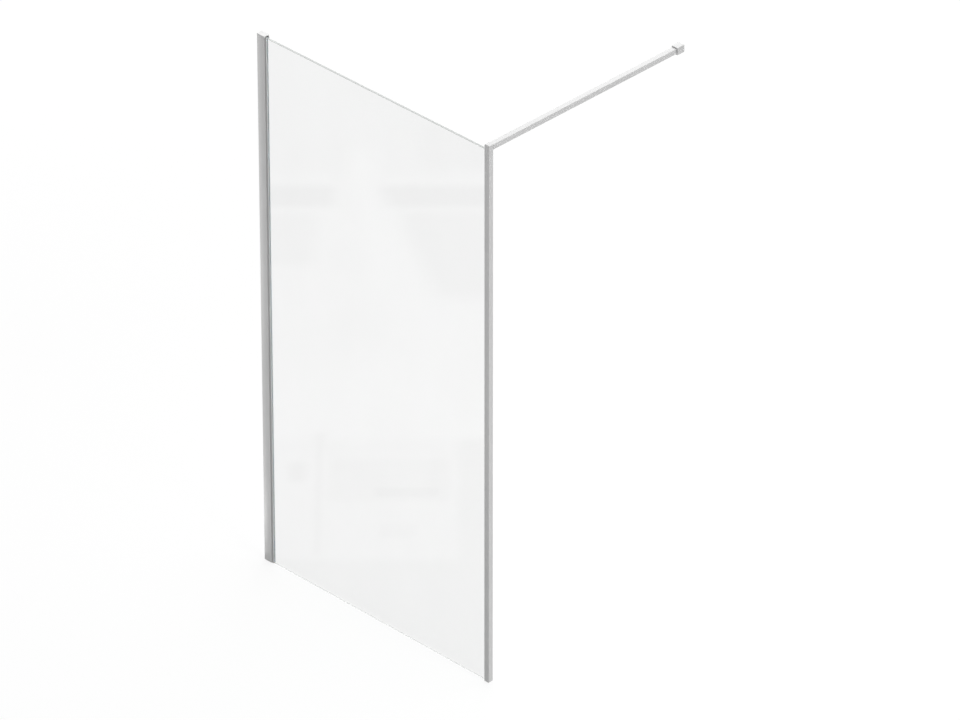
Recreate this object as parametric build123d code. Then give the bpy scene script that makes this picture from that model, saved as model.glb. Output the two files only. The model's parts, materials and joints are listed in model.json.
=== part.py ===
from build123d import *
import os

# A walk-in shower screen: a glass pane held in a wall channel, with an end post at its free edge
# and a square support bar from the post's top to the opposite wall.
# X runs out from the side wall along the glass, Y runs along the bar and Z is up.
# The origin lies on the side wall, on the glass's mid-plane, at the channel's lower end.

# Overall sizes
SCREEN_WIDTH = 1000.0  # side wall to the end post's outer face
SCREEN_HEIGHT = 1950.0  # floor to the bar's top
BAR_REACH = 850.0  # end post's front face to the opposite wall
FLOOR_GAP = 3.0  # floor to the channel's lower end

# Glass pane
GLASS_THICKNESS = 8.0
GLASS_BEVEL = 0.6  # polished bevel on every edge
GLASS_LIFT = 1.0  # floor to the glass
GLASS_TOP_GAP = 1.0  # glass to the corner connector above it

# Glass profile, which slides in the wall channel
PROFILE_WALL = 1.3
PROFILE_WEB = 1.6
PROFILE_POCKET = 16.0  # depth of the groove that takes the glass
PROFILE_SHOW = 5.0  # length seen outside the channel
PROFILE_REAR_GAP = 6.0  # channel base to the profile's rear edges
PROFILE_TOP_GAP = 1.0  # profile to the channel's top cap
PROFILE_EDGE = 0.4  # rounding of the long outer edges
PROFILE_GASKET = 1.5  # gasket thickness, each side of the glass
PROFILE_BLOCK = 2.0  # glazing block between the web and the glass edge
SLIDE_CLEARANCE = 0.3  # profile to the channel's lips and ribs

# Wall channel
CHANNEL_WIDTH = 32.0  # out from the wall
CHANNEL_BASE = 2.0
CHANNEL_LIMB = 1.8  # limb thickness at its edges
CHANNEL_CROWN = 1.0  # how far the limbs' outer faces arch out
CHANNEL_LIP = 1.2  # depth of the lips and ribs that guide the profile
CHANNEL_LIP_WIDTH = 3.0
CHANNEL_RIB_WIDTH = 2.0
CHANNEL_RIB_PLACE = 11.0  # wall to the rib
CHANNEL_EDGE = 0.5  # rounding at the mouth
CHANNEL_ABOVE_GLASS = 8.0  # glass top to the top of the channel's cap

# Channel top cap
CAP_PLATE = 2.5
CAP_LEG_THICKNESS = 1.1
CAP_LEG_WIDTH = 12.0
CAP_LEG_DEPTH = 14.0
CAP_LEG_PLACE = 16.0  # wall to the legs
CAP_EDGE = 0.6

# Screw holes in the channel's base
WALL_HOLE_RADIUS = 2.5
WALL_HOLE_COUNT = 4
WALL_HOLE_SPAN = 1700.0  # lowest hole to highest

# Clamp screws, which lock the profile in the channel from the shower side
CLAMP_COUNT = 3
CLAMP_END_DISTANCE = 150.0  # channel's ends to the outer screws
CLAMP_PLACE = 25.0  # wall to the screws
CLAMP_RADIUS = 2.0
CLAMP_HEAD_RADIUS = 3.5
CLAMP_HEAD_HEIGHT = 2.2
CLAMP_TIP_GAP = 0.1
THREAD_CLEARANCE = 0.05

# Snap-on covers over the clamp screws
COVER_WALL = 1.0
COVER_ROOM = 0.5  # round the screw's head
COVER_EDGE = 0.7
COVER_SEAT_ROOM = 0.2  # round the cover in its spot face

# End post
POST_WIDTH = 20.0
POST_WALL = 2.0
POST_END_WALL = 1.6
POST_WEB = 1.5
POST_POCKET = 11.0  # depth of the groove that takes the glass
POST_CORNER = 1.5  # rounding of the outer corners
POST_MOUTH_CORNER = 0.5  # rounding beside the glass
POST_GASKET = 3.0  # gasket thickness, each side of the glass
POST_BLOCK = 1.5  # glazing block between the web and the glass edge

# Foot cap under the post
FOOT_PLATE = 3.0
FOOT_PLUG = 16.0
FOOT_EDGE = 0.4
FOOT_PLUG_CLEARANCE = 0.1

# Gaskets and glazing blocks
GASKET_INSET = 1.5  # gasket's inner edge to the glazing block
GASKET_NOSE = 0.4  # how far the gasket stands out of the groove
BLOCK_COUNT = 3
BLOCK_LENGTH = 60.0
BLOCK_END_DISTANCE = 200.0  # glass's ends to the outer blocks
BLOCK_SIDE_ROOM = 0.2

# Support bar, a square tube
BAR_SIZE = 18.0
BAR_WALL = 1.5
BAR_CORNER = 1.0
BAR_INNER_CORNER = 0.3

# Corner connector between the post and the bar
CONNECTOR_FRONT_EDGE = 4.0  # rounding of the top front edge
CONNECTOR_PLUG = 30.0  # into the post
CONNECTOR_SPIGOT = 35.0  # into the bar
CONNECTOR_CLEARANCE = 0.2

# Screws at the corner
CORNER_SCREW_RADIUS = 1.45
CORNER_SCREW_HEAD_RADIUS = 2.7
CORNER_SCREW_HEAD_HEIGHT = 1.8
CORNER_SCREW_LENGTH = 6.0
POST_SCREW_DROP = 14.0  # connector's underside to the screw in the post
BAR_SCREW_PLACE = 17.0  # post's back face to the screw in the bar

# Socket on the opposite wall
SOCKET_LENGTH = 30.0
SOCKET_WALL = 3.2
SOCKET_CLEARANCE = 0.3
SOCKET_EDGE = 1.0
BAR_INSERTION = 12.0
INSERT_LENGTH = 12.0
INSERT_HOLE_RADIUS = 2.6
INSERT_SINK_RADIUS = 5.0
INSERT_SINK_DEPTH = 2.6

# Grub screws in the socket's underside
GRUB_RADIUS = 2.5
GRUB_RECESS = 0.3
GRUB_TIP_GAP = 0.1
GRUB_BAR_PLACE = 4.0  # socket's mouth to the screw under the bar
GRUB_INSERT_PLACE = 6.0  # opposite wall to the screw under the insert

# Hexagon sockets in all the screws
KEY_SHARE = 0.5  # of the head's radius
KEY_DEPTH = 1.2
KEY_SIDES = 6
HEAD_EDGE = 0.6  # rounding of a head's rim

# Places that follow from the sizes
FLOOR = -FLOOR_GAP
BAR_TOP = FLOOR + SCREEN_HEIGHT
BAR_BOTTOM = BAR_TOP - BAR_SIZE
POST_TOP = BAR_BOTTOM
GLASS_BOTTOM = FLOOR + GLASS_LIFT
GLASS_TOP = POST_TOP - GLASS_TOP_GAP
CAP_TOP = GLASS_TOP + CHANNEL_ABOVE_GLASS
CHANNEL_TOP = CAP_TOP - CAP_PLATE
PROFILE_TOP = CHANNEL_TOP - PROFILE_TOP_GAP
PROFILE_BOTTOM = GLASS_BOTTOM
POST_BOTTOM = FLOOR + FOOT_PLATE

PROFILE_IN = GLASS_THICKNESS / 2 + PROFILE_GASKET
PROFILE_OUT = PROFILE_IN + PROFILE_WALL
PROFILE_START = CHANNEL_BASE + PROFILE_REAR_GAP
PROFILE_END = CHANNEL_WIDTH + PROFILE_SHOW
PROFILE_FLOOR = PROFILE_END - PROFILE_POCKET

GUIDE_IN = PROFILE_OUT + SLIDE_CLEARANCE
LIMB_IN = GUIDE_IN + CHANNEL_LIP
LIMB_OUT = LIMB_IN + CHANNEL_LIMB

POST_START = SCREEN_WIDTH - POST_WIDTH
POST_FLOOR = POST_START + POST_POCKET
POST_CHAMBER_START = POST_FLOOR + POST_WEB
POST_CHAMBER_END = SCREEN_WIDTH - POST_END_WALL
POST_IN = GLASS_THICKNESS / 2 + POST_GASKET
POST_OUT = POST_IN + POST_WALL

GLASS_START = PROFILE_FLOOR + PROFILE_BLOCK
GLASS_END = POST_FLOOR - POST_BLOCK

BAR_MIDDLE_X = SCREEN_WIDTH - BAR_SIZE / 2
BAR_MIDDLE_Z = BAR_TOP - BAR_SIZE / 2
FAR_WALL = BAR_REACH - POST_OUT
SOCKET_START = FAR_WALL - SOCKET_LENGTH
SOCKET_IN = BAR_SIZE / 2 + SOCKET_CLEARANCE
SOCKET_OUT = SOCKET_IN + SOCKET_WALL
BAR_END = SOCKET_START + BAR_INSERTION

CLAMP_LENGTH = LIMB_OUT - PROFILE_OUT - CLAMP_TIP_GAP
COVER_IN = CLAMP_HEAD_RADIUS + COVER_ROOM
COVER_OUT = COVER_IN + COVER_WALL
COVER_HEIGHT = CLAMP_HEAD_HEIGHT + COVER_ROOM + COVER_WALL

CUT = 1.0  # how far a cutting body runs past the face that it cuts
NEAR = 0.01  # two places closer than this are the same


def rectangle(x0, x1, y0, y1):
    return Pos((x0 + x1) / 2, (y0 + y1) / 2) * Rectangle(x1 - x0, y1 - y0)


def block(x0, x1, y0, y1, z0, z1):
    centre = Pos((x0 + x1) / 2, (y0 + y1) / 2, (z0 + z1) / 2)
    return centre * Box(x1 - x0, y1 - y0, z1 - z0)


def prism(section, z0, z1):
    return Pos(0, 0, z0) * extrude(section, z1 - z0)


def rod_x(radius, x0, x1, y, z):
    return Pos((x0 + x1) / 2, y, z) * Rot(0, 90, 0) * Cylinder(radius, x1 - x0)


def spread(count, low, high):
    step = (high - low) / (count - 1)
    return [low + step * i for i in range(count)]


def edges_at_height(solid, height):
    return ShapeList(e for e in solid.edges() if abs(e.center().Z - height) < NEAR)


def screw(radius, length, head_radius, head_height):
    """A screw along Z, with its head's underside at zero and its tip below it."""
    shank = Pos(0, 0, -length / 2) * Cylinder(radius, length)
    head = Pos(0, 0, head_height / 2) * Cylinder(head_radius, head_height)
    head = fillet(edges_at_height(head, head_height), HEAD_EDGE)
    key = RegularPolygon(head_radius * KEY_SHARE, KEY_SIDES)
    return head + shank - prism(key, head_height - KEY_DEPTH, head_height + CUT)


def towards_shower(x, y, z):
    """Turns a piece made along Z so that its top looks along Y, and puts it at this point."""
    return Pos(x, y, z) * Rot(-90, 0, 0)


def clamp_heights():
    return spread(CLAMP_COUNT, CLAMP_END_DISTANCE, CHANNEL_TOP - CLAMP_END_DISTANCE)


def wall_hole_heights():
    middle = CHANNEL_TOP / 2
    return spread(WALL_HOLE_COUNT, middle - WALL_HOLE_SPAN / 2, middle + WALL_HOLE_SPAN / 2)


def channel_outline():
    """The channel's outer section, with arched limbs."""
    crown = LIMB_OUT + CHANNEL_CROWN
    middle = CHANNEL_WIDTH / 2
    front = ThreePointArc((0, -LIMB_OUT), (middle, -crown), (CHANNEL_WIDTH, -LIMB_OUT))
    mouth = Line((CHANNEL_WIDTH, -LIMB_OUT), (CHANNEL_WIDTH, LIMB_OUT))
    back = ThreePointArc((CHANNEL_WIDTH, LIMB_OUT), (middle, crown), (0, LIMB_OUT))
    wall = Line((0, LIMB_OUT), (0, -LIMB_OUT))
    outline = make_face([front, mouth, back, wall])
    corners = outline.vertices().filter_by(lambda v: v.X > middle)
    return fillet(corners, CHANNEL_EDGE)


def wall_channel():
    section = channel_outline() - rectangle(CHANNEL_BASE, CHANNEL_WIDTH + CUT, -LIMB_IN, LIMB_IN)
    lip_start = CHANNEL_WIDTH - CHANNEL_LIP_WIDTH
    rib_end = CHANNEL_RIB_PLACE + CHANNEL_RIB_WIDTH
    for x0, x1 in ((CHANNEL_RIB_PLACE, rib_end), (lip_start, CHANNEL_WIDTH)):
        section += rectangle(x0, x1, -LIMB_IN, -GUIDE_IN)
        section += rectangle(x0, x1, GUIDE_IN, LIMB_IN)
    channel = prism(section, 0, CHANNEL_TOP)
    for z in wall_hole_heights():
        channel -= rod_x(WALL_HOLE_RADIUS, -CUT, CHANNEL_BASE + CUT, 0, z)
    hole = Cylinder(CLAMP_RADIUS + THREAD_CLEARANCE, 2 * (LIMB_OUT - GUIDE_IN))
    seat = Pos(0, 0, CHANNEL_CROWN) * Cylinder(COVER_OUT + COVER_SEAT_ROOM, 2 * CHANNEL_CROWN)
    for z in clamp_heights():
        channel -= towards_shower(CLAMP_PLACE, LIMB_OUT, z) * (hole + seat)
    return channel


def channel_top_cap():
    plate = prism(channel_outline(), CHANNEL_TOP, CAP_TOP)
    plate = fillet(edges_at_height(plate, CAP_TOP), CAP_EDGE)
    x1 = CAP_LEG_PLACE + CAP_LEG_WIDTH
    for y0, y1 in ((LIMB_IN - CAP_LEG_THICKNESS, LIMB_IN), (-LIMB_IN, CAP_LEG_THICKNESS - LIMB_IN)):
        plate += block(CAP_LEG_PLACE, x1, y0, y1, CHANNEL_TOP - CAP_LEG_DEPTH, CHANNEL_TOP)
    return plate


def clamp_screws():
    piece = screw(CLAMP_RADIUS, CLAMP_LENGTH, CLAMP_HEAD_RADIUS, CLAMP_HEAD_HEIGHT)
    return [towards_shower(CLAMP_PLACE, LIMB_OUT, z) * piece for z in clamp_heights()]


def clamp_screw_covers():
    shell = Pos(0, 0, COVER_HEIGHT / 2) * Cylinder(COVER_OUT, COVER_HEIGHT)
    shell = fillet(edges_at_height(shell, COVER_HEIGHT), COVER_EDGE)
    shell -= Cylinder(COVER_IN, 2 * (COVER_HEIGHT - COVER_WALL))
    return [towards_shower(CLAMP_PLACE, LIMB_OUT, z) * shell for z in clamp_heights()]


def glass_profile():
    outline = rectangle(PROFILE_START, PROFILE_END, -PROFILE_OUT, PROFILE_OUT)
    outline = fillet(outline.vertices(), PROFILE_EDGE)
    section = outline - rectangle(PROFILE_FLOOR, PROFILE_END + CUT, -PROFILE_IN, PROFILE_IN)
    web_back = PROFILE_FLOOR - PROFILE_WEB
    section -= rectangle(PROFILE_START - CUT, web_back, -PROFILE_IN, PROFILE_IN)
    return prism(section, PROFILE_BOTTOM, PROFILE_TOP)


def glass_pane():
    pane = block(
        GLASS_START, GLASS_END, -GLASS_THICKNESS / 2, GLASS_THICKNESS / 2, GLASS_BOTTOM, GLASS_TOP
    )
    rims = pane.faces().sort_by(Axis.Y)
    return chamfer(rims[0].edges() + rims[-1].edges(), GLASS_BEVEL)


def gasket(x0, x1, thickness, side, bottom, top, nose_at_end):
    """A strip between the glass and a groove's wall, with its rounded nose at the groove's mouth."""
    near = GLASS_THICKNESS / 2
    y0, y1 = sorted((side * near, side * (near + thickness)))
    strip = rectangle(x0, x1, y0, y1)
    order = strip.vertices().sort_by(Axis.X)
    nose = order[-2:] if nose_at_end else order[:2]
    return prism(fillet(nose, GASKET_NOSE / 2), bottom, top)


def profile_gasket(side):
    start = GLASS_START + GASKET_INSET
    end = PROFILE_END + GASKET_NOSE
    return gasket(start, end, PROFILE_GASKET, side, GLASS_BOTTOM, GLASS_TOP, True)


def post_gasket(side):
    start = POST_START - GASKET_NOSE
    end = GLASS_END - GASKET_INSET
    return gasket(start, end, POST_GASKET, side, GLASS_BOTTOM, GLASS_TOP, False)


def glazing_blocks(x0, x1, half_width):
    low = GLASS_BOTTOM + BLOCK_END_DISTANCE
    high = GLASS_TOP - BLOCK_END_DISTANCE
    half = BLOCK_LENGTH / 2
    side = half_width - BLOCK_SIDE_ROOM
    return [block(x0, x1, -side, side, z - half, z + half) for z in spread(BLOCK_COUNT, low, high)]


def post_outline():
    """The post's outer section, which the foot cap and the corner connector share."""
    outline = rectangle(POST_START, SCREEN_WIDTH, -POST_OUT, POST_OUT)
    order = outline.vertices().sort_by(Axis.X)
    outline = fillet(order[-2:], POST_CORNER)
    order = outline.vertices().sort_by(Axis.X)
    return fillet(order[:2], POST_MOUTH_CORNER)


def post_pocket():
    return rectangle(POST_START - CUT, POST_FLOOR, -POST_IN, POST_IN)


def edge_post():
    chamber = rectangle(POST_CHAMBER_START, POST_CHAMBER_END, -POST_IN, POST_IN)
    post = prism(post_outline() - post_pocket() - chamber, POST_BOTTOM, POST_TOP)
    return post - post_screw_hole()


def post_screw_place():
    x = (POST_CHAMBER_START + POST_CHAMBER_END) / 2
    return towards_shower(x, POST_OUT, POST_TOP - POST_SCREW_DROP)


def post_screw_hole():
    hole = Cylinder(CORNER_SCREW_RADIUS + THREAD_CLEARANCE, 2 * (CORNER_SCREW_LENGTH + CUT))
    return post_screw_place() * hole


def chamber_plug(clearance, z0, z1):
    side = POST_IN - clearance
    return block(POST_CHAMBER_START + clearance, POST_CHAMBER_END - clearance, -side, side, z0, z1)


def post_foot_cap():
    plate = prism(post_outline(), FLOOR, POST_BOTTOM)
    plate = chamfer(edges_at_height(plate, FLOOR), FOOT_EDGE)
    plate -= prism(post_pocket(), FLOOR - CUT, POST_BOTTOM + CUT)
    return plate + chamber_plug(FOOT_PLUG_CLEARANCE, POST_BOTTOM, POST_BOTTOM + FOOT_PLUG)


def rim_above(solid, x, height):
    """The edges of the solid's face at this X that reach above this height."""
    return [e for e in solid.edges() if abs(e.center().X - x) < NEAR and e.center().Z > height]


def connector_body():
    """A block that carries on the post's outline, with its top edges rounded, the front one the most."""
    body = block(POST_START, SCREEN_WIDTH, -POST_OUT, POST_OUT, BAR_BOTTOM, BAR_TOP)
    front_edge = edges_at_height(body, BAR_TOP).sort_by(Axis.Y)[0]
    body = fillet(front_edge, CONNECTOR_FRONT_EDGE)
    body = fillet(rim_above(body, SCREEN_WIDTH, BAR_BOTTOM + CUT), POST_CORNER)
    return fillet(rim_above(body, POST_START, BAR_BOTTOM + CUT), POST_MOUTH_CORNER)


def corner_connector():
    body = connector_body()
    body += chamber_plug(CONNECTOR_CLEARANCE, POST_TOP - CONNECTOR_PLUG, POST_TOP)
    half = BAR_SIZE / 2 - BAR_WALL - CONNECTOR_CLEARANCE
    x0, x1 = BAR_MIDDLE_X - half, BAR_MIDDLE_X + half
    z0, z1 = BAR_MIDDLE_Z - half, BAR_MIDDLE_Z + half
    body += block(x0, x1, POST_OUT, POST_OUT + CONNECTOR_SPIGOT, z0, z1)
    return body - post_screw_hole() - bar_screw_hole()


def corner_screw():
    return screw(
        CORNER_SCREW_RADIUS, CORNER_SCREW_LENGTH, CORNER_SCREW_HEAD_RADIUS, CORNER_SCREW_HEAD_HEIGHT
    )


def connector_screw():
    return post_screw_place() * corner_screw()


def bar_screw_place():
    return Pos(BAR_MIDDLE_X, POST_OUT + BAR_SCREW_PLACE, BAR_BOTTOM) * Rot(180, 0, 0)


def bar_screw_hole():
    hole = Cylinder(CORNER_SCREW_RADIUS + THREAD_CLEARANCE, 2 * (CORNER_SCREW_LENGTH + CUT))
    return bar_screw_place() * hole


def bar_screw():
    return bar_screw_place() * corner_screw()


def square_tube(half_out, corner, half_in, inner_corner, length):
    """A square tube along Z from zero, on its own axis."""
    outside = RectangleRounded(2 * half_out, 2 * half_out, corner)
    inside = RectangleRounded(2 * half_in, 2 * half_in, inner_corner)
    return extrude(outside - inside, length)


def along_bar(y):
    """Turns a piece made along Z to run along Y on the bar's axis, from this distance."""
    return Pos(BAR_MIDDLE_X, y, BAR_MIDDLE_Z) * Rot(-90, 0, 0)


def support_bar():
    half = BAR_SIZE / 2
    tube = square_tube(half, BAR_CORNER, half - BAR_WALL, BAR_INNER_CORNER, BAR_END - POST_OUT)
    return along_bar(POST_OUT) * tube - bar_screw_hole()


def grub_places():
    bottom = BAR_MIDDLE_Z - SOCKET_OUT
    places = (SOCKET_START + GRUB_BAR_PLACE, FAR_WALL - GRUB_INSERT_PLACE)
    return [Pos(BAR_MIDDLE_X, y, bottom) for y in places]


def wall_socket():
    tube = square_tube(SOCKET_OUT, SOCKET_EDGE, SOCKET_IN, BAR_CORNER, SOCKET_LENGTH)
    socket = along_bar(SOCKET_START) * tube
    hole = Cylinder(GRUB_RADIUS + THREAD_CLEARANCE, 2 * (SOCKET_WALL + CUT))
    for place in grub_places():
        socket -= place * hole
    return socket


def socket_insert():
    piece = extrude(RectangleRounded(BAR_SIZE, BAR_SIZE, BAR_CORNER), INSERT_LENGTH)
    piece -= Pos(0, 0, INSERT_LENGTH / 2) * Cylinder(INSERT_HOLE_RADIUS, INSERT_LENGTH + 2 * CUT)
    sink = Cone(INSERT_SINK_RADIUS, INSERT_HOLE_RADIUS, INSERT_SINK_DEPTH)
    piece -= Pos(0, 0, INSERT_SINK_DEPTH / 2) * sink
    return along_bar(FAR_WALL - INSERT_LENGTH) * piece


def grub_screws():
    length = SOCKET_WALL + SOCKET_CLEARANCE - GRUB_RECESS - GRUB_TIP_GAP
    piece = Pos(0, 0, length / 2) * Cylinder(GRUB_RADIUS, length)
    piece -= extrude(RegularPolygon(GRUB_RADIUS * KEY_SHARE, KEY_SIDES), KEY_DEPTH)
    return [place * Pos(0, 0, GRUB_RECESS) * piece for place in grub_places()]


SUB_PARTS = {
    "wall_channel": wall_channel,
    "channel_top_cap": channel_top_cap,
    "clamp_screws": clamp_screws,
    "clamp_screw_covers": clamp_screw_covers,
    "glass_profile": glass_profile,
    "profile_gasket_front": lambda: profile_gasket(-1),
    "profile_gasket_back": lambda: profile_gasket(1),
    "profile_glazing_blocks": lambda: glazing_blocks(PROFILE_FLOOR, GLASS_START, PROFILE_IN),
    "glass_pane": glass_pane,
    "edge_post": edge_post,
    "post_gasket_front": lambda: post_gasket(-1),
    "post_gasket_back": lambda: post_gasket(1),
    "post_glazing_blocks": lambda: glazing_blocks(GLASS_END, POST_FLOOR, POST_IN),
    "post_foot_cap": post_foot_cap,
    "corner_connector": corner_connector,
    "connector_screw": connector_screw,
    "support_bar": support_bar,
    "bar_screw": bar_screw,
    "wall_socket": wall_socket,
    "socket_insert": socket_insert,
    "grub_screws": grub_screws,
}

os.makedirs("parts", exist_ok=True)
for name, make in SUB_PARTS.items():
    made = make()
    solids = made if isinstance(made, list) else [made]
    pieces = [s for item in solids for s in item.solids()]
    export_step(pieces[0] if len(pieces) == 1 else Compound(children=pieces), f"parts/{name}.step")
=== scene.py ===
import json
import math

import bpy
from mathutils import Matrix, Vector


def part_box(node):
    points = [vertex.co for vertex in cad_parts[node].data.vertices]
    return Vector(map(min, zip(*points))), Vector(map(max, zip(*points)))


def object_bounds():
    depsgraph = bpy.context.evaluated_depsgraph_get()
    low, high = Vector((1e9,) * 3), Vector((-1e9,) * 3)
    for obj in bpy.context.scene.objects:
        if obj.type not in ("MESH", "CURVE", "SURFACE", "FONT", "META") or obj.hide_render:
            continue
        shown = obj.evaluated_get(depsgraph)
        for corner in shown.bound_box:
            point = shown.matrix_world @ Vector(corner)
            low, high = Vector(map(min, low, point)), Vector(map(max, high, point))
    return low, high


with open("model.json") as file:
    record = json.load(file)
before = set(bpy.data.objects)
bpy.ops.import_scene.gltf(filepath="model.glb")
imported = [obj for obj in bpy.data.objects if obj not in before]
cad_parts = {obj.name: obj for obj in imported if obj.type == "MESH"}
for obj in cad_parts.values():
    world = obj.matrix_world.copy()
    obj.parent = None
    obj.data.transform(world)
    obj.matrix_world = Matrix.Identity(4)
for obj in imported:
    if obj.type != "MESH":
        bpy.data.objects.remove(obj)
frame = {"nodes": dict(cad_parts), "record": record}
cad_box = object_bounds()
scene = bpy.context.scene
scene.view_settings.view_transform = "Standard"

# Camera, in degrees and metres, with its lens and sensor in millimetres. It stands off its aim, and AIM_RIGHT
# and AIM_UP move it across its own view, to frame the object as the photograph does.
AZIMUTH, ELEVATION, DISTANCE = 44.55, 32.17, 28.5
LENS, SENSOR = 344.9, 36.0
AIM = Vector((0.700, 0.200, 0.972))
AIM_RIGHT, AIM_UP = 0.0396, -0.0077
CLIP_START, CLIP_END = 0.1, 200.0

# Floor, in metres, with a hair's gap under the object
FLOOR_SIZE, FLOOR_GAP = 60.0, 0.0001
FLOOR_GREY = 0.85
# The floor's share of plain white and its strength, up to NEAR_EDGE metres from the origin, where shadows
# fall, and from FAR_EDGE on
NEAR_EDGE, FAR_EDGE = 1.5, 4.0
NEAR_LIFT, FAR_LIFT = 0.80, 1.0
NEAR_GLOW, FAR_GLOW = 1.03, 1.02

# Strength of the world as light, and as the camera, metal and glass see it
WORLD_FILL, WORLD_WHITE = 0.35, 1.0

# Lamps: name, place, target, side in metres, power in watts, and whether metal and glass mirror it
MIDDLE, BAR_START = (0.6, 0.3, 1.0), (1.0, 0.4, 1.9)
LAMPS = (
    ("overhead", (0.5, 1.2, 6.0), MIDDLE, 4.0, 215, False),
    ("right_side", (6.5, -0.4, 1.5), MIDDLE, 3.0, 285, False),
    ("back_high", (-3.7, 5.2, 6.2), BAR_START, 6.0, 142, True),
)

# Glowing strips on the floor, in one line from the origin out to the front left: name, start, end, width and
# glow. Only mirrors see them, and the arched channel shows them at its left side. They are narrow near the
# screen, so that the glass doesn't show them to the camera.
STRIP_TURN, STRIP_HEIGHT = math.radians(205), 0.005
STRIPS = (
    ("heel_strip", 0.03, 0.10, 0.07, 0.60),
    ("foot_strip", 0.10, 0.20, 0.12, 0.90),
    ("near_strip", 0.20, 1.30, 0.19, 1.65),
    ("far_strip", 1.30, 4.50, 0.80, 1.65),
)

# Painted reflection: soft grey places painted on the floor that only reflections show. Those in metal and in
# the glass's front face show less of it than those in the glass's back face, whose rays have a depth over
# BACK_FACE_DEPTH.
FRONT_REFLECTION_PAINT, BACK_REFLECTION_PAINT, BACK_FACE_DEPTH = 0.35, 0.80, 2.5
# In metres, u runs to the right and v away, as the glass shows the floor to the camera. Each patch has its
# left, right, near and far side, its softness and its depth.
PAINTED_REFLECTION_PATCHES = (
    (-0.6, 1.3, 2.33, 3.6, 0.10, 0.40),
    (0.42, 1.3, 2.36, 2.76, 0.09, 0.62),
    (-0.6, 0.19, 2.155, 2.31, 0.035, 0.95),
    (0.31, 1.3, 2.155, 2.31, 0.035, 0.95),
    (-0.6, 0.14, 1.77, 2.14, 0.05, 0.58),
    (0.40, 1.3, 1.56, 2.15, 0.06, 0.62),
    (-0.6, 1.3, -1.1, 0.71, 0.04, 0.34),
    (0.14, 0.18, 0.01, 0.75, 0.02, 0.70),
    (0.60, 0.82, -0.2, 0.71, 0.03, 0.72),
    (0.05, 0.13, 0.44, 0.58, 0.03, 0.95),
    (0.18, 0.60, 0.32, 0.60, 0.03, 0.60),
    (0.33, 0.56, 0.35, 0.43, 0.02, 0.95),
    (0.34, 0.50, 0.10, 0.22, 0.03, 0.55),
    (-0.6, 1.3, -1.2, 0.01, 0.04, 0.74),
)
# Bounds of the painted reflection, the painted haze: the whole of it, and where it fades out at the pane's
# plane
PAINTED_REFLECTION_ENDS = (-0.7, 1.5, -1.2, 3.6, 0.3)  # left, right, near, far and softness of the whole
PAINTED_REFLECTION_STOP = (-0.02, 0.0)  # along Y, where the haze fades out at the pane's plane
# Painted cloudiness of the reflection between the patches, which is shallower towards the object
CLOUD_SCALE, CLOUD_RANGE, CLOUD_DEPTHS = 3.2, (0.35, 0.65), (0.10, 0.26)
CLOUD_FADE, CLOUD_NEAR_SHARE = (0.85, 1.25), 0.3
# A diagonal gap in the painted reflection, which from far to near moves to the right and widens
GAP_V, GAP_U = (2.35, 1.3), (0.28, 0.51)
GAP_WIDENS, GAP_CLEAR, GAP_SOFT = (2.3, 1.3), (0.01, 0.08), (0.08, 0.16)
GAP_FAR_END, GAP_NEAR_END = (2.45, 2.6), (0.7, 1.0)
GAP_DEPTH = 0.9

# Most of a noise texture's values lie in this range
NOISE_LOW, NOISE_HIGH = 0.3, 0.7

# Metals: tones from dark to light, and roughness. The satin ones' coat is part matt.
SATIN_METALLIC = 0.6
DRAWN_TONES, DRAWN_ROUGH = (0.450, 0.500), (0.30, 0.44)
CAST_TONES, CAST_ROUGH = (0.445, 0.495), (0.30, 0.42)
STEEL_DARK, STEEL_LIGHT, STEEL_ROUGH = (0.50, 0.50, 0.49), (0.62, 0.62, 0.61), (0.24, 0.42)

# Moulded parts: tones from dark to light, roughness, scale of the grain and subsurface share
MOULDED = {
    "silver_plastic": ((0.56, 0.66), (0.38, 0.52), 2200, 0.0),
    "gasket_grey": ((0.68, 0.76), (0.46, 0.60), 1600, 0.15),
    "block_plastic": ((0.72, 0.80), (0.42, 0.58), 1500, 0.05),
}
MOULDED_RANGE = (0.35, 0.65)  # the noise's range over which the tones run

# Glass: colours of the faces, the edges, the lower edge, and the light that it passes to its surroundings
GLASS_IOR = 1.52
FACE_DARK, FACE_LIGHT = (0.904, 0.906, 0.905), (0.918, 0.920, 0.919)
# The lower edge's colour is a painted lightening, paler to offset the shade it sits in by the floor
EDGE_COLOUR, FOOT_COLOUR, PASSED_COLOUR = (0.61, 0.63, 0.62), (0.92, 0.93, 0.925), (0.86, 0.88, 0.87)
FILM_RANGE, FILM_ROUGH = (0.45, 0.8), 0.02
# The surface turns from face to edge where its normal's share along Y falls through this range
FACING_RANGE = (0.75, 0.95)
EDGE_ROUGH, EDGE_CLEARNESS = (0.10, 0.22), 0.35
# The lower edge's look ends this high over the pane's foot, in metres, and has this share of the grinding
FOOT_HEIGHT, FOOT_GRINDING = (0.002, 0.005), 0.4


def grey(value):
    return (value, value, value)


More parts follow.
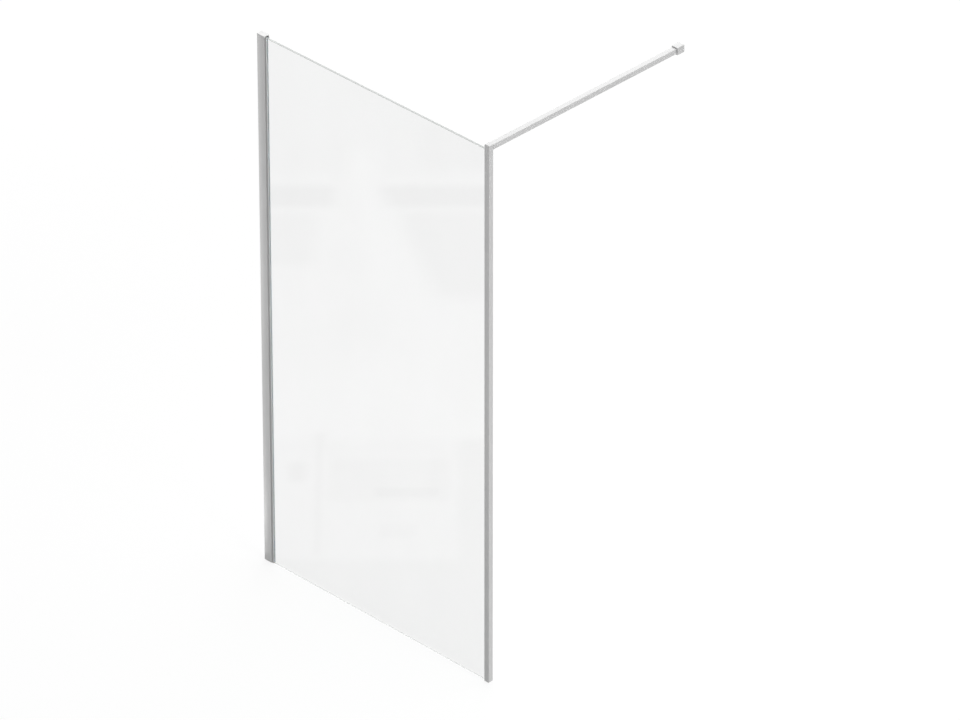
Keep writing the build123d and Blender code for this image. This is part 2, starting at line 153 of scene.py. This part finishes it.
class Tree:
    """A node tree with short calls for making and joining nodes."""

    def __init__(self, tree):
        self.tree = tree
        self.tree.nodes.clear()

    def add(self, kind, links=None, **values):
        node = self.tree.nodes.new(kind)
        for name, value in values.items():
            setattr(node, name, value)
        for name, source in (links or {}).items():
            self.put(node, name, source)
        return node

    def put(self, node, name, source):
        """Joins a socket to another node's output, or sets its own value."""
        socket = node.inputs[name]
        if isinstance(source, bpy.types.NodeSocket):
            self.tree.links.new(source, socket)
        else:
            socket.default_value = source

    def math(self, operation, a, b=0.0):
        return self.add("ShaderNodeMath", {0: a, 1: b}, operation=operation).outputs[0]

    def product(self, *factors):
        result = factors[0]
        for factor in factors[1:]:
            result = self.math("MULTIPLY", result, factor)
        return result

    def blend(self, first, second, share):
        """The sum of two values, with this share of the second and the rest of the first."""
        return self.math("ADD", self.product(first, 1.0 - share), self.product(second, share))

    def span(self, value, low, high, to_low, to_high):
        """Value from low..high carried over to to_low..to_high, held at the ends."""
        links = {"Value": value, "From Min": low, "From Max": high, "To Min": to_low, "To Max": to_high}
        return self.add("ShaderNodeMapRange", links).outputs["Result"]

    def spread(self, noise, to_low, to_high):
        """A noise's usual range carried over to to_low..to_high."""
        return self.span(noise, NOISE_LOW, NOISE_HIGH, to_low, to_high)

    def coordinates(self, kind="Object"):
        return self.add("ShaderNodeTexCoord").outputs[kind]

    def component(self, vector, axis):
        return self.add("ShaderNodeSeparateXYZ", {"Vector": vector}).outputs[axis]

    def place(self, x, y=None, z=None):
        """Object coordinates in metres, stretched by a scale for each axis, or by one for all."""
        scale = (x, x, x) if y is None else (x, y, z)
        return self.add("ShaderNodeMapping", {"Vector": self.coordinates(), "Scale": scale}).outputs["Vector"]

    def noise(self, vector, scale=1.0, detail=2.0, rough=0.5):
        links = {"Vector": vector, "Scale": scale, "Detail": detail, "Roughness": rough}
        return self.add("ShaderNodeTexNoise", links).outputs["Fac"]

    def bump(self, height, strength, distance, under=None):
        """A bumped normal, over another one if it is given. Distance is in metres."""
        links = {"Height": height, "Strength": strength, "Distance": distance}
        if under is not None:
            links["Normal"] = under
        return self.add("ShaderNodeBump", links).outputs["Normal"]

    def tint(self, value, dark, light):
        """A colour between dark and light by value, 0 to 1."""
        ramp = self.add("ShaderNodeValToRGB", {"Fac": value})
        ramp.color_ramp.elements[0].color = (*dark, 1)
        ramp.color_ramp.elements[1].color = (*light, 1)
        return ramp.outputs["Color"]

    def shader(self, colour, rough, normal, sockets):
        links = {"Base Color": colour, "Roughness": rough, "Normal": normal}
        return self.add("ShaderNodeBsdfPrincipled", {**links, **sockets}).outputs[0]

    def mixed_colour(self, share, first, second):
        """The second colour by share, and the first for the rest. A Mix node has its colours by number."""
        links = {"Factor": share, 6: first, 7: second}
        return self.add("ShaderNodeMix", links, data_type="RGBA").outputs[2]

    def mixed(self, share, first, second):
        """The second shader by share, and the first for the rest."""
        return self.add("ShaderNodeMixShader", {"Fac": share, 1: first, 2: second}).outputs[0]

    def surface(self, shader):
        self.add("ShaderNodeOutputMaterial", {"Surface": shader})


def new_material(name):
    material = bpy.data.materials.new(name)
    material.use_nodes = True
    return material, Tree(material.node_tree)


def drawn_metal(name, along):
    """Satin anodised extrusion: hairlines, broader die lines and faint mottling, drawn along one axis,
    which is 0 for X, 1 for Y or 2 for Z."""
    material, t = new_material(name)

    def drawn(across, length, detail, rough=0.5):
        scales = [length if axis == along else across for axis in range(3)]
        return t.noise(t.place(*scales), detail=detail, rough=rough)

    hair = drawn(across=5200, length=9, detail=3, rough=0.6)
    die = drawn(across=620, length=0.7, detail=2)
    mottle = t.noise(t.place(9), detail=3)
    pits = t.noise(t.place(2600), detail=1)
    tone = t.blend(t.blend(die, mottle, 0.5), hair, 0.25)
    colour = t.tint(t.spread(tone, 0.0, 1.0), *map(grey, DRAWN_TONES))
    rough = t.spread(t.blend(hair, mottle, 0.4), *DRAWN_ROUGH)
    normal = t.bump(pits, strength=0.05, distance=0.00001)
    normal = t.bump(hair, strength=0.08, distance=0.00001, under=normal)
    normal = t.bump(die, strength=0.12, distance=0.00003, under=normal)
    t.surface(t.shader(colour, rough, normal, {"Metallic": SATIN_METALLIC}))
    return material


def cast_metal():
    """Satin plated casting: fine blasted grain with a slight flow of tone."""
    material, t = new_material("satin_casting")
    grain = t.noise(t.place(3400), detail=2)
    flow = t.noise(t.place(45), detail=4)
    colour = t.tint(t.spread(flow, 0.0, 1.0), *map(grey, CAST_TONES))
    rough = t.spread(grain, *CAST_ROUGH)
    normal = t.bump(grain, strength=0.08, distance=0.00002)
    normal = t.bump(flow, strength=0.10, distance=0.0002, under=normal)
    t.surface(t.shader(colour, rough, normal, {"Metallic": SATIN_METALLIC}))
    return material


def moulded(name, tones, roughness, grain_scale, subsurface):
    """Moulded plastic or rubber: eroded mould texture and a slight drift of tone."""
    material, t = new_material(name)
    grain = t.noise(t.place(grain_scale), detail=2)
    drift = t.noise(t.place(30), detail=3)
    tone = t.span(t.blend(grain, drift, 0.6), *MOULDED_RANGE, 0.0, 1.0)
    colour = t.tint(tone, *map(grey, tones))
    rough = t.spread(grain, *roughness)
    normal = t.bump(grain, strength=0.25, distance=0.00005)
    t.surface(t.shader(colour, rough, normal, {"Subsurface Weight": subsurface}))
    return material


def turned_steel():
    """Stainless screws: fine turning marks and small scuffs."""
    material, t = new_material("turned_steel")
    marks = t.noise(t.place(5000, 1400, 1400), detail=2)
    scuff = t.noise(t.place(260), detail=4)
    colour = t.tint(t.spread(scuff, 0.0, 1.0), STEEL_DARK, STEEL_LIGHT)
    rough = t.spread(t.blend(marks, scuff, 0.5), *STEEL_ROUGH)
    normal = t.bump(marks, strength=0.15, distance=0.00004)
    t.surface(t.shader(colour, rough, normal, {"Metallic": 1.0}))
    return material


def clear_glass():
    """Toughened float glass: a faint film and roller waves on its faces, and ground edges that are greyer and
    less clear, except the lower one, which is clearer and painted paler, against the shade it sits in by the
    floor."""
    material, t = new_material("clear_glass")
    # 1 on the pane's edges and 0 on its faces, from how far the surface faces along Y
    facing = t.math("ABSOLUTE", t.component(t.coordinates("Normal"), "Y"))
    edge = t.span(facing, *FACING_RANGE, 1.0, 0.0)
    # 1 at the lower edge and 0 a little above it
    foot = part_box("glass_pane")[0][2]
    below = t.span(t.component(t.coordinates(), "Z"), *(foot + height for height in FOOT_HEIGHT), 1.0, 0.0)
    ground = t.product(edge, t.span(below, 0.0, 1.0, 1.0, FOOT_GRINDING))

    wave = t.noise(t.place(1.2, 1.2, 7.0), detail=2)
    film = t.noise(t.place(5, 5, 3), detail=4)
    grind = t.noise(t.place(900, 1500, 900), detail=2)
    face_colour = t.tint(t.spread(film, 0.0, 1.0), FACE_DARK, FACE_LIGHT)
    # Painted lightening: the lower edge gets the paler FOOT_COLOUR against its shade by the floor
    colour = t.mixed_colour(edge, face_colour, t.tint(below, EDGE_COLOUR, FOOT_COLOUR))
    edge_rough = t.product(edge, t.spread(grind, *EDGE_ROUGH))
    rough = t.math("ADD", edge_rough, t.span(film, *FILM_RANGE, 0.0, FILM_ROUGH))
    normal = t.bump(wave, strength=0.02, distance=0.0004)
    clearness = t.span(ground, 0.0, 1.0, 1.0, EDGE_CLEARNESS)
    glass = t.shader(colour, rough, normal, {"Transmission Weight": clearness, "IOR": GLASS_IOR})

    # Light passes straight through, so that the pane's shadow is pale
    passed = t.add("ShaderNodeBsdfTransparent", {"Color": (*PASSED_COLOUR, 1)}).outputs[0]
    ray = t.add("ShaderNodeLightPath")
    passing = t.math("MAXIMUM", ray.outputs["Is Shadow Ray"], ray.outputs["Is Diffuse Ray"])
    t.surface(t.mixed(passing, glass, passed))
    return material


def dress():
    """Gives each CAD node the material of its slot. The bar is drawn along Y, and the other metal along Z."""
    bar = drawn_metal("satin_aluminium_level", along=1)
    by_slot = {
        "satin_aluminium": drawn_metal("satin_aluminium_upright", along=2),
        "satin_casting": cast_metal(),
        "screw_steel": turned_steel(),
        "clear_glass": clear_glass(),
    }
    by_slot.update((slot, moulded(slot, *look)) for slot, look in MOULDED.items())
    for part in frame["record"]["subparts"]:
        materials = frame["nodes"][part["node"]].data.materials
        materials.clear()
        materials.append(bar if part["node"] == "support_bar" else by_slot[part["material_slot"]])


def seen_directly(t):
    """1 for rays by which the camera sees a thing, straight, mirrored or through glass, and 0 for others."""
    ray = t.add("ShaderNodeLightPath").outputs
    straight_or_mirrored = t.math("MAXIMUM", ray["Is Camera Ray"], ray["Is Glossy Ray"])
    return t.math("MAXIMUM", straight_or_mirrored, ray["Is Transmission Ray"])


def soft_patch(t, u, v, left, right, near, far, soft):
    """1 inside a soft-edged rectangle, 0 outside."""
    sides = [(u, left, 1), (u, right, -1), (v, near, 1), (v, far, -1)]
    return t.product(*(t.span(value, edge - soft * turn, edge + soft * turn, 0.0, 1.0)
                       for value, edge, turn in sides))


def painted_reflection_gap(t, u, v):
    """1 along the middle of the diagonal gap in the painted reflection, 0 outside it."""
    off = t.math("ABSOLUTE", t.math("SUBTRACT", u, t.span(v, *GAP_V, *GAP_U)))
    clear = t.span(v, *GAP_WIDENS, *GAP_CLEAR)
    soft = t.span(v, *GAP_WIDENS, *GAP_SOFT)
    far_end = t.span(v, *GAP_FAR_END, 1.0, 0.0)
    near_end = t.span(v, *GAP_NEAR_END, 0.0, 1.0)
    return t.product(t.span(off, clear, soft, 1.0, 0.0), t.product(far_end, near_end))


def painted_reflection(t):
    """Painted reflection: how grey the floor at the front left looks in the glass: cloudiness, soft patches
    and a gap.
    """
    here = t.coordinates()
    turn = (0, 0, math.radians(AZIMUTH))
    turned = t.add("ShaderNodeMapping", {"Vector": here, "Rotation": turn}).outputs["Vector"]
    u, v = t.component(turned, "X"), t.product(t.component(turned, "Y"), -1.0)
    cloud = t.span(t.noise(turned, scale=CLOUD_SCALE, detail=2), *CLOUD_RANGE, *CLOUD_DEPTHS)
    reflection_paint = t.product(cloud, t.span(v, *CLOUD_FADE, CLOUD_NEAR_SHARE, 1.0))
    for *sides, depth in PAINTED_REFLECTION_PATCHES:
        reflection_paint = t.math("MAXIMUM", reflection_paint, t.product(soft_patch(t, u, v, *sides), depth))
    reflection_paint = t.product(reflection_paint, t.math("SUBTRACT", 1.0, t.product(painted_reflection_gap(t, u, v), GAP_DEPTH)))
    before = t.span(t.component(here, "Y"), *PAINTED_REFLECTION_STOP, 1.0, 0.0)
    return t.product(reflection_paint, t.product(soft_patch(t, u, v, *PAINTED_REFLECTION_ENDS), before))


def floor_material():
    """Matt and pale. Camera, metal and glass see it mostly as white, and reflections show the painted
    reflection on it.
    """
    material, t = new_material("studio_floor")
    matt = t.add("ShaderNodeBsdfDiffuse", {"Color": (*grey(FLOOR_GREY), 1)}).outputs[0]
    ray = t.add("ShaderNodeLightPath").outputs
    through = ray["Is Transmission Ray"]
    front = t.product(ray["Is Glossy Ray"], t.math("SUBTRACT", 1.0, through))
    back = t.product(through, t.math("GREATER_THAN", ray["Ray Depth"], BACK_FACE_DEPTH))
    shown = t.math("ADD", t.product(front, FRONT_REFLECTION_PAINT), t.product(back, BACK_REFLECTION_PAINT))
    # Painted reflection: grey shapes that darken the floor's white only where mirrors and the glass see it
    dimmed = t.product(painted_reflection(t), shown)
    away = t.add("ShaderNodeVectorMath", {0: t.coordinates()}, operation="LENGTH").outputs["Value"]
    glow = t.math("SUBTRACT", t.span(away, NEAR_EDGE, FAR_EDGE, NEAR_GLOW, FAR_GLOW), dimmed)
    white = t.add("ShaderNodeEmission", {"Color": (1, 1, 1, 1), "Strength": glow}).outputs[0]
    lift = t.product(seen_directly(t), t.span(away, NEAR_EDGE, FAR_EDGE, NEAR_LIFT, FAR_LIFT))
    t.surface(t.mixed(lift, matt, white))
    return material


def add_floor():
    """A square just under the object."""
    mesh = bpy.data.meshes.new("studio_floor")
    half = FLOOR_SIZE / 2
    corners = [(-half, -half, 0), (half, -half, 0), (half, half, 0), (-half, half, 0)]
    mesh.from_pydata(corners, [], [(0, 1, 2, 3)])
    mesh.materials.append(floor_material())
    floor = bpy.data.objects.new("studio_floor", mesh)
    floor.location.z = cad_box[0][2] - FLOOR_GAP
    scene.collection.objects.link(floor)


def add_world():
    """A soft fill as light, and plain white as the camera, metal and glass see it."""
    world = bpy.data.worlds.new("studio")
    world.use_nodes = True
    scene.world = world
    t = Tree(world.node_tree)

    def background(strength):
        return t.add("ShaderNodeBackground", {"Color": (1, 1, 1, 1), "Strength": strength}).outputs[0]

    seen = t.mixed(seen_directly(t), background(WORLD_FILL), background(WORLD_WHITE))
    t.add("ShaderNodeOutputWorld", {"Surface": seen})


def add_lamp(name, place, width, height, power, mirrored):
    """A soft lamp, which faces down until it is turned. The camera never sees it, even through the glass."""
    data = bpy.data.lights.new(name, "AREA")
    data.shape = "RECTANGLE"
    data.size, data.size_y, data.energy = width, height, power
    lamp = bpy.data.objects.new(name, data)
    lamp.location = place
    lamp.visible_camera = False
    lamp.visible_transmission = False
    lamp.visible_glossy = mirrored
    scene.collection.objects.link(lamp)
    return lamp


def add_lamps():
    """The strong lamps aren't mirrored, so that no metal face burns out from any side."""
    for name, place, target, side, power, mirrored in LAMPS:
        lamp = add_lamp(name, place, side, side, power, mirrored)
        lamp.rotation_euler = (Vector(target) - Vector(place)).to_track_quat("-Z", "Y").to_euler()
    for name, start, end, width, glow in STRIPS:
        length, middle = end - start, (start + end) / 2
        place = (middle * math.cos(STRIP_TURN), middle * math.sin(STRIP_TURN), STRIP_HEIGHT)
        strip = add_lamp(name, place, length, width, math.pi * glow * length * width, True)
        strip.rotation_euler = (math.pi, 0, STRIP_TURN)
        strip.visible_diffuse = False


def add_camera():
    """The camera at its azimuth, where 0 looks along +Y, and its elevation over the floor."""
    a, e = math.radians(AZIMUTH), math.radians(ELEVATION)
    back = Vector((math.sin(a) * math.cos(e), -math.cos(a) * math.cos(e), math.sin(e)))
    right = Vector((math.cos(a), math.sin(a), 0))
    up = back.cross(right)
    camera = bpy.data.objects.new("camera", bpy.data.cameras.new("camera"))
    camera.data.lens, camera.data.sensor_width = LENS, SENSOR
    camera.data.clip_start, camera.data.clip_end = CLIP_START, CLIP_END
    camera.location = AIM + right * AIM_RIGHT + up * AIM_UP + back * DISTANCE
    camera.rotation_euler = Matrix((right, up, back)).transposed().to_euler()
    scene.collection.objects.link(camera)
    scene.camera = camera


dress()
add_floor()
add_world()
add_lamps()
add_camera()
